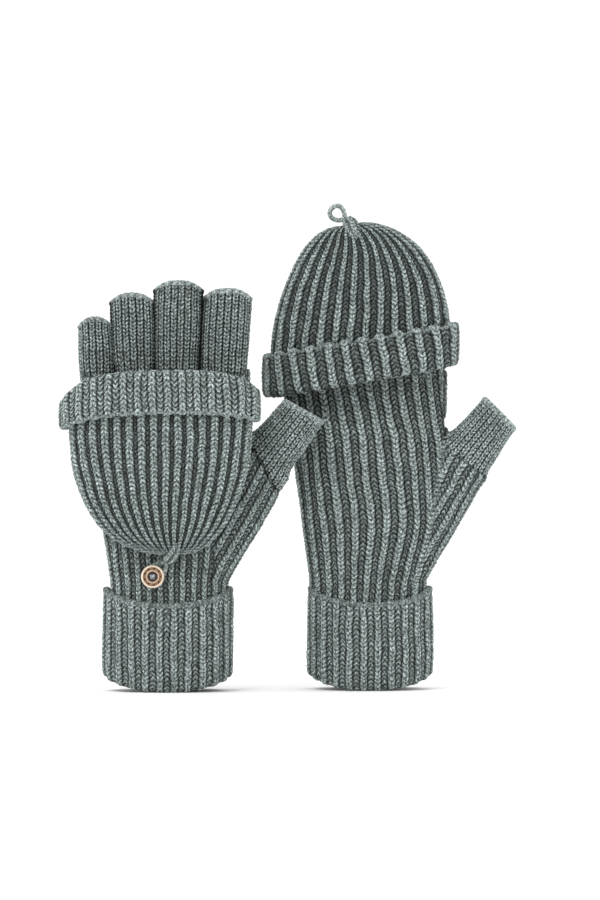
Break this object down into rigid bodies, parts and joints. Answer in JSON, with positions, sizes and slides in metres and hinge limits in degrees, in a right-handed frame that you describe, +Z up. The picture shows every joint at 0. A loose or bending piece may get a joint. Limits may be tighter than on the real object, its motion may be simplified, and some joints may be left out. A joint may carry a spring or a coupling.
{
  "type": "convertible flip-top mittens",
  "caption": "Pair of ribbed knit fingerless mittens with flip-top hoods, yarn loops, wooden wrist buttons and turned-up cuffs, standing on the cuffs.",
  "frame": {"origin": "on the floor, in the middle of the pair's bounding box", "axes": "+X towards the thumbs (the pair's width), +Y away from the viewer: the left mitten's back of the hand and the right mitten's palm face -Y, +Z up towards the fingertips"},
  "size_m": [0.2382, 0.0956, 0.2612],
  "materials": {
    "knit": "heathered grey-green wool-blend yarn, ribbed and stockinette knit, slightly fuzzy",
    "yarn": "the same yarn as twisted cord and overcast stitches",
    "button_wood": "turned light wood, cream rim, tan ring, satin",
    "thread": "grey sewing thread, wound and knotted"
  },
  "bodies": {
    "left_mitten": {"left_hand": "knit", "left_wrist_cuff": "knit", "left_little_finger": "knit", "left_ring_finger": "knit", "left_middle_finger": "knit", "left_index_finger": "knit", "left_button_thread": "thread", "left_hood_seam": "yarn"},
    "left_thumb": {"left_thumb": "knit"},
    "left_hood": {"left_hood": "knit", "left_hood_band": "knit", "left_hood_tip": "yarn"},
    "left_loop": {"left_button_loop": "yarn"},
    "left_button": {"left_button": "button_wood"},
    "right_mitten": {"right_hand": "knit", "right_wrist_cuff": "knit", "right_little_finger": "knit", "right_ring_finger": "knit", "right_middle_finger": "knit", "right_index_finger": "knit", "right_button_thread": "thread", "right_hood_seam": "yarn"},
    "right_thumb": {"right_thumb": "knit"},
    "right_hood": {"right_hood": "knit", "right_hood_band": "knit", "right_hood_tip": "yarn"},
    "right_loop": {"right_button_loop": "yarn"},
    "right_button": {"right_button": "button_wood"}
  },
  "joints": [
    {"name": "mitten_spacing", "type": "slide", "parent": "left_mitten", "child": "right_mitten", "axis": [1, 0, 0], "range_m": [0, 0.12]},
    {"name": "left_hood_flip", "type": "hinge", "parent": "left_mitten", "child": "left_hood", "pos_m": [-0.06806, -0.016, 0.1665], "axis": [-1, 0, 0], "range_deg": [0, 180], "deforming": ["left_little_finger", "left_ring_finger", "left_middle_finger", "left_index_finger", "left_button_loop"]},
    {"name": "left_thumb_swing", "type": "hinge", "parent": "left_mitten", "child": "left_thumb", "pos_m": [-0.01366, 0.0015, 0.122], "axis": [0, 1, 0], "range_deg": [-15, 15]},
    {"name": "left_loop_swing", "type": "hinge", "parent": "left_hood", "child": "left_loop", "pos_m": [-0.06623, -0.01812, 0.06694], "axis": [-0.6959, 0, 0.7181], "range_deg": [0, 90]},
    {"name": "left_button_twist", "type": "hinge", "parent": "left_mitten", "child": "left_button", "pos_m": [-0.07236, -0.0197, 0.061], "axis": [0, 1, 0], "range_deg": [-90, 90]},
    {"name": "right_hood_flip", "type": "hinge", "parent": "right_mitten", "child": "right_hood", "pos_m": [0.03714, 0.041, 0.1665], "axis": [-1, 0, 0], "range_deg": [0, 180], "deforming": ["right_little_finger", "right_ring_finger", "right_middle_finger", "right_index_finger"]},
    {"name": "right_thumb_swing", "type": "hinge", "parent": "right_mitten", "child": "right_thumb", "pos_m": [0.09154, 0.0235, 0.122], "axis": [0, 1, 0], "range_deg": [-15, 15]},
    {"name": "right_loop_swing", "type": "hinge", "parent": "right_hood", "child": "right_loop", "pos_m": [0.02907, 0.026, 0.25162], "axis": [0.8051, 0, 0.5932], "range_deg": [-80, 80]},
    {"name": "right_button_twist", "type": "hinge", "parent": "right_mitten", "child": "right_button", "pos_m": [0.03284, 0.0447, 0.061], "axis": [0, 1, 0], "range_deg": [-90, 90]}
  ]
}
